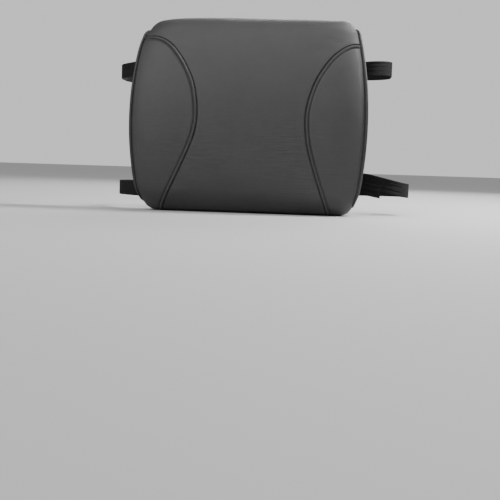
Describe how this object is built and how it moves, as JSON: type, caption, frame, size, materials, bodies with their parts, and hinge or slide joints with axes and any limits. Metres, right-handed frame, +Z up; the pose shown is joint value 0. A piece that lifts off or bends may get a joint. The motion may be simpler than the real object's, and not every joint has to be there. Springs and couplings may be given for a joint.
{
  "type": "lumbar support cushion",
  "caption": "Contoured foam lumbar cushion in a sewn leatherette cover with side wings, a back zip and two elastic straps that close in side-release buckles.",
  "frame": {"origin": "middle of the cushion's flat back face, which lies against the seat back", "axes": "+Z up, +Y from the cushion's back face towards the seat back, +X to the right of someone facing the cushion"},
  "size_m": [0.5194, 0.2329, 0.325],
  "materials": {
    "leatherette": "matte, fine pebble grain",
    "back_fabric": "close plain weave, matt",
    "piping": "matte",
    "foam": "open-cell polyurethane foam",
    "liner": "thin non-woven",
    "thread": "twisted polyester thread",
    "webbing": "knitted elastic webbing with lengthwise ribs",
    "zip_tape": "herringbone woven tape",
    "zip_teeth": "moulded plastic",
    "zip_metal": "black painted zinc, slightly worn",
    "buckle_plastic": "acetal, fine moulded texture"
  },
  "bodies": {
    "cushion": {"foam_core": "foam", "inner_liner": "liner", "front_centre_panel": "leatherette", "left_wing_panel": "leatherette", "right_wing_panel": "leatherette", "left_side_panel": "leatherette", "right_side_panel": "leatherette", "upper_back_panel": "back_fabric", "lower_back_panel": "back_fabric", "left_piping": "piping", "right_piping": "piping", "left_wing_topstitches": "thread", "right_wing_topstitches": "thread", "upper_zip_tape": "zip_tape", "lower_zip_tape": "zip_tape", "upper_zip_teeth": "zip_teeth", "lower_zip_teeth": "zip_teeth", "zip_end_stops": "zip_metal", "upper_strap": "webbing", "lower_strap": "webbing", "upper_anchor_stitches": "thread", "lower_anchor_stitches": "thread", "upper_buckle_stub": "webbing", "lower_buckle_stub": "webbing", "upper_buckle_socket": "buckle_plastic", "lower_buckle_socket": "buckle_plastic"},
    "zip_slider": {"zip_slider": "zip_metal"},
    "zip_pull": {"zip_pull": "zip_metal"},
    "upper_plug": {"upper_buckle_plug": "buckle_plastic"},
    "upper_latch_arm_top": {"upper_latch_arm_top": "buckle_plastic"},
    "upper_latch_arm_bottom": {"upper_latch_arm_bottom": "buckle_plastic"},
    "lower_plug": {"lower_buckle_plug": "buckle_plastic"},
    "lower_latch_arm_top": {"lower_latch_arm_top": "buckle_plastic"},
    "lower_latch_arm_bottom": {"lower_latch_arm_bottom": "buckle_plastic"}
  },
  "joints": [
    {"name": "zip_slide", "type": "slide", "parent": "cushion", "child": "zip_slider", "axis": [-1, 0, 0], "range_m": [0, 0.293], "deforming": ["upper_zip_teeth", "lower_zip_teeth"]},
    {"name": "zip_pull_hinge", "type": "hinge", "parent": "zip_slider", "child": "zip_pull", "pos_m": [0.148, 0.0019, -0.058], "axis": [0, 0, -1], "range_deg": [0, 170]},
    {"name": "upper_plug_slide", "type": "slide", "parent": "cushion", "child": "upper_plug", "axis": [1, 0, 0], "range_m": [0, 0.024], "deforming": ["upper_strap", "upper_latch_arm_top", "upper_latch_arm_bottom"]},
    {"name": "upper_latch_squeeze_top", "type": "hinge", "parent": "upper_plug", "child": "upper_latch_arm_top", "pos_m": [0.0932, 0.0072, 0.0928], "axis": [0, -1, 0], "range_deg": [0, 15], "stiffness_Nm_per_rad": 0.2},
    {"name": "upper_latch_squeeze_bottom", "type": "hinge", "parent": "upper_plug", "child": "upper_latch_arm_bottom", "pos_m": [0.0932, 0.0072, 0.0732], "axis": [0, 1, 0], "range_deg": [0, 15], "stiffness_Nm_per_rad": 0.2},
    {"name": "lower_plug_slide", "type": "slide", "parent": "cushion", "child": "lower_plug", "axis": [1, 0, 0], "range_m": [0, 0.024], "deforming": ["lower_strap", "lower_latch_arm_top", "lower_latch_arm_bottom"]},
    {"name": "lower_latch_squeeze_top", "type": "hinge", "parent": "lower_plug", "child": "lower_latch_arm_top", "pos_m": [0.0932, 0.0072, -0.0962], "axis": [0, -1, 0], "range_deg": [0, 15], "stiffness_Nm_per_rad": 0.2},
    {"name": "lower_latch_squeeze_bottom", "type": "hinge", "parent": "lower_plug", "child": "lower_latch_arm_bottom", "pos_m": [0.0932, 0.0072, -0.1158], "axis": [0, 1, 0], "range_deg": [0, 15], "stiffness_Nm_per_rad": 0.2}
  ]
}
